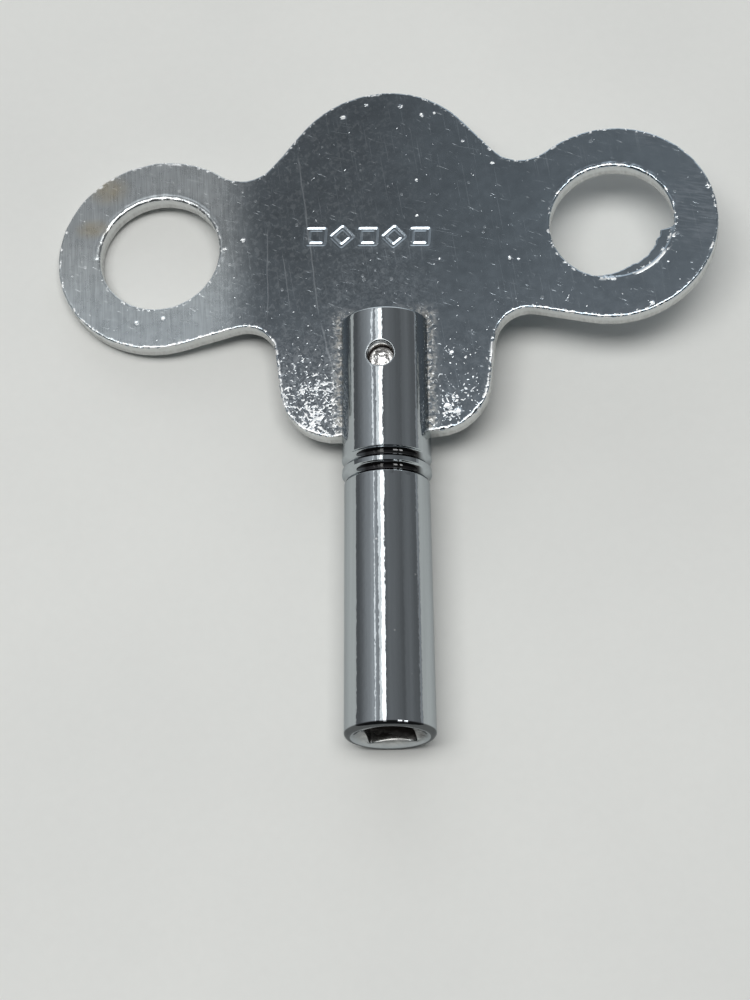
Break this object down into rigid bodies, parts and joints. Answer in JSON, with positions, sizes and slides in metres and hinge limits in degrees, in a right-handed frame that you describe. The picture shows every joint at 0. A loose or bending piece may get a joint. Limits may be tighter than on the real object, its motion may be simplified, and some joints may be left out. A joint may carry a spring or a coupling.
{
  "type": "radiator bleed key",
  "caption": "Winged key: a stamped trefoil plate pinned into the slotted end of a grooved round barrel, whose square socket turns a small square spindle.",
  "frame": {"origin": "centre of the socket's mouth, on the barrel's axis", "axes": "+Y runs up the barrel from the socket's mouth to the wings, X runs from ring to ring, and +Z is square to the flat plate, which lies in the XY plane"},
  "size_m": [0.0612, 0.0628, 0.008],
  "materials": {
    "wing_plate": "bright plating over stamped sheet steel, scratched and pitted",
    "barrel": "bright plating over turned steel",
    "retaining_pin": "bright plating, dull and lightly hammered at the ends"
  },
  "bodies": {
    "root": {"wing_plate": "wing_plate", "barrel": "barrel", "retaining_pin": "retaining_pin"}
  },
  "joints": []
}
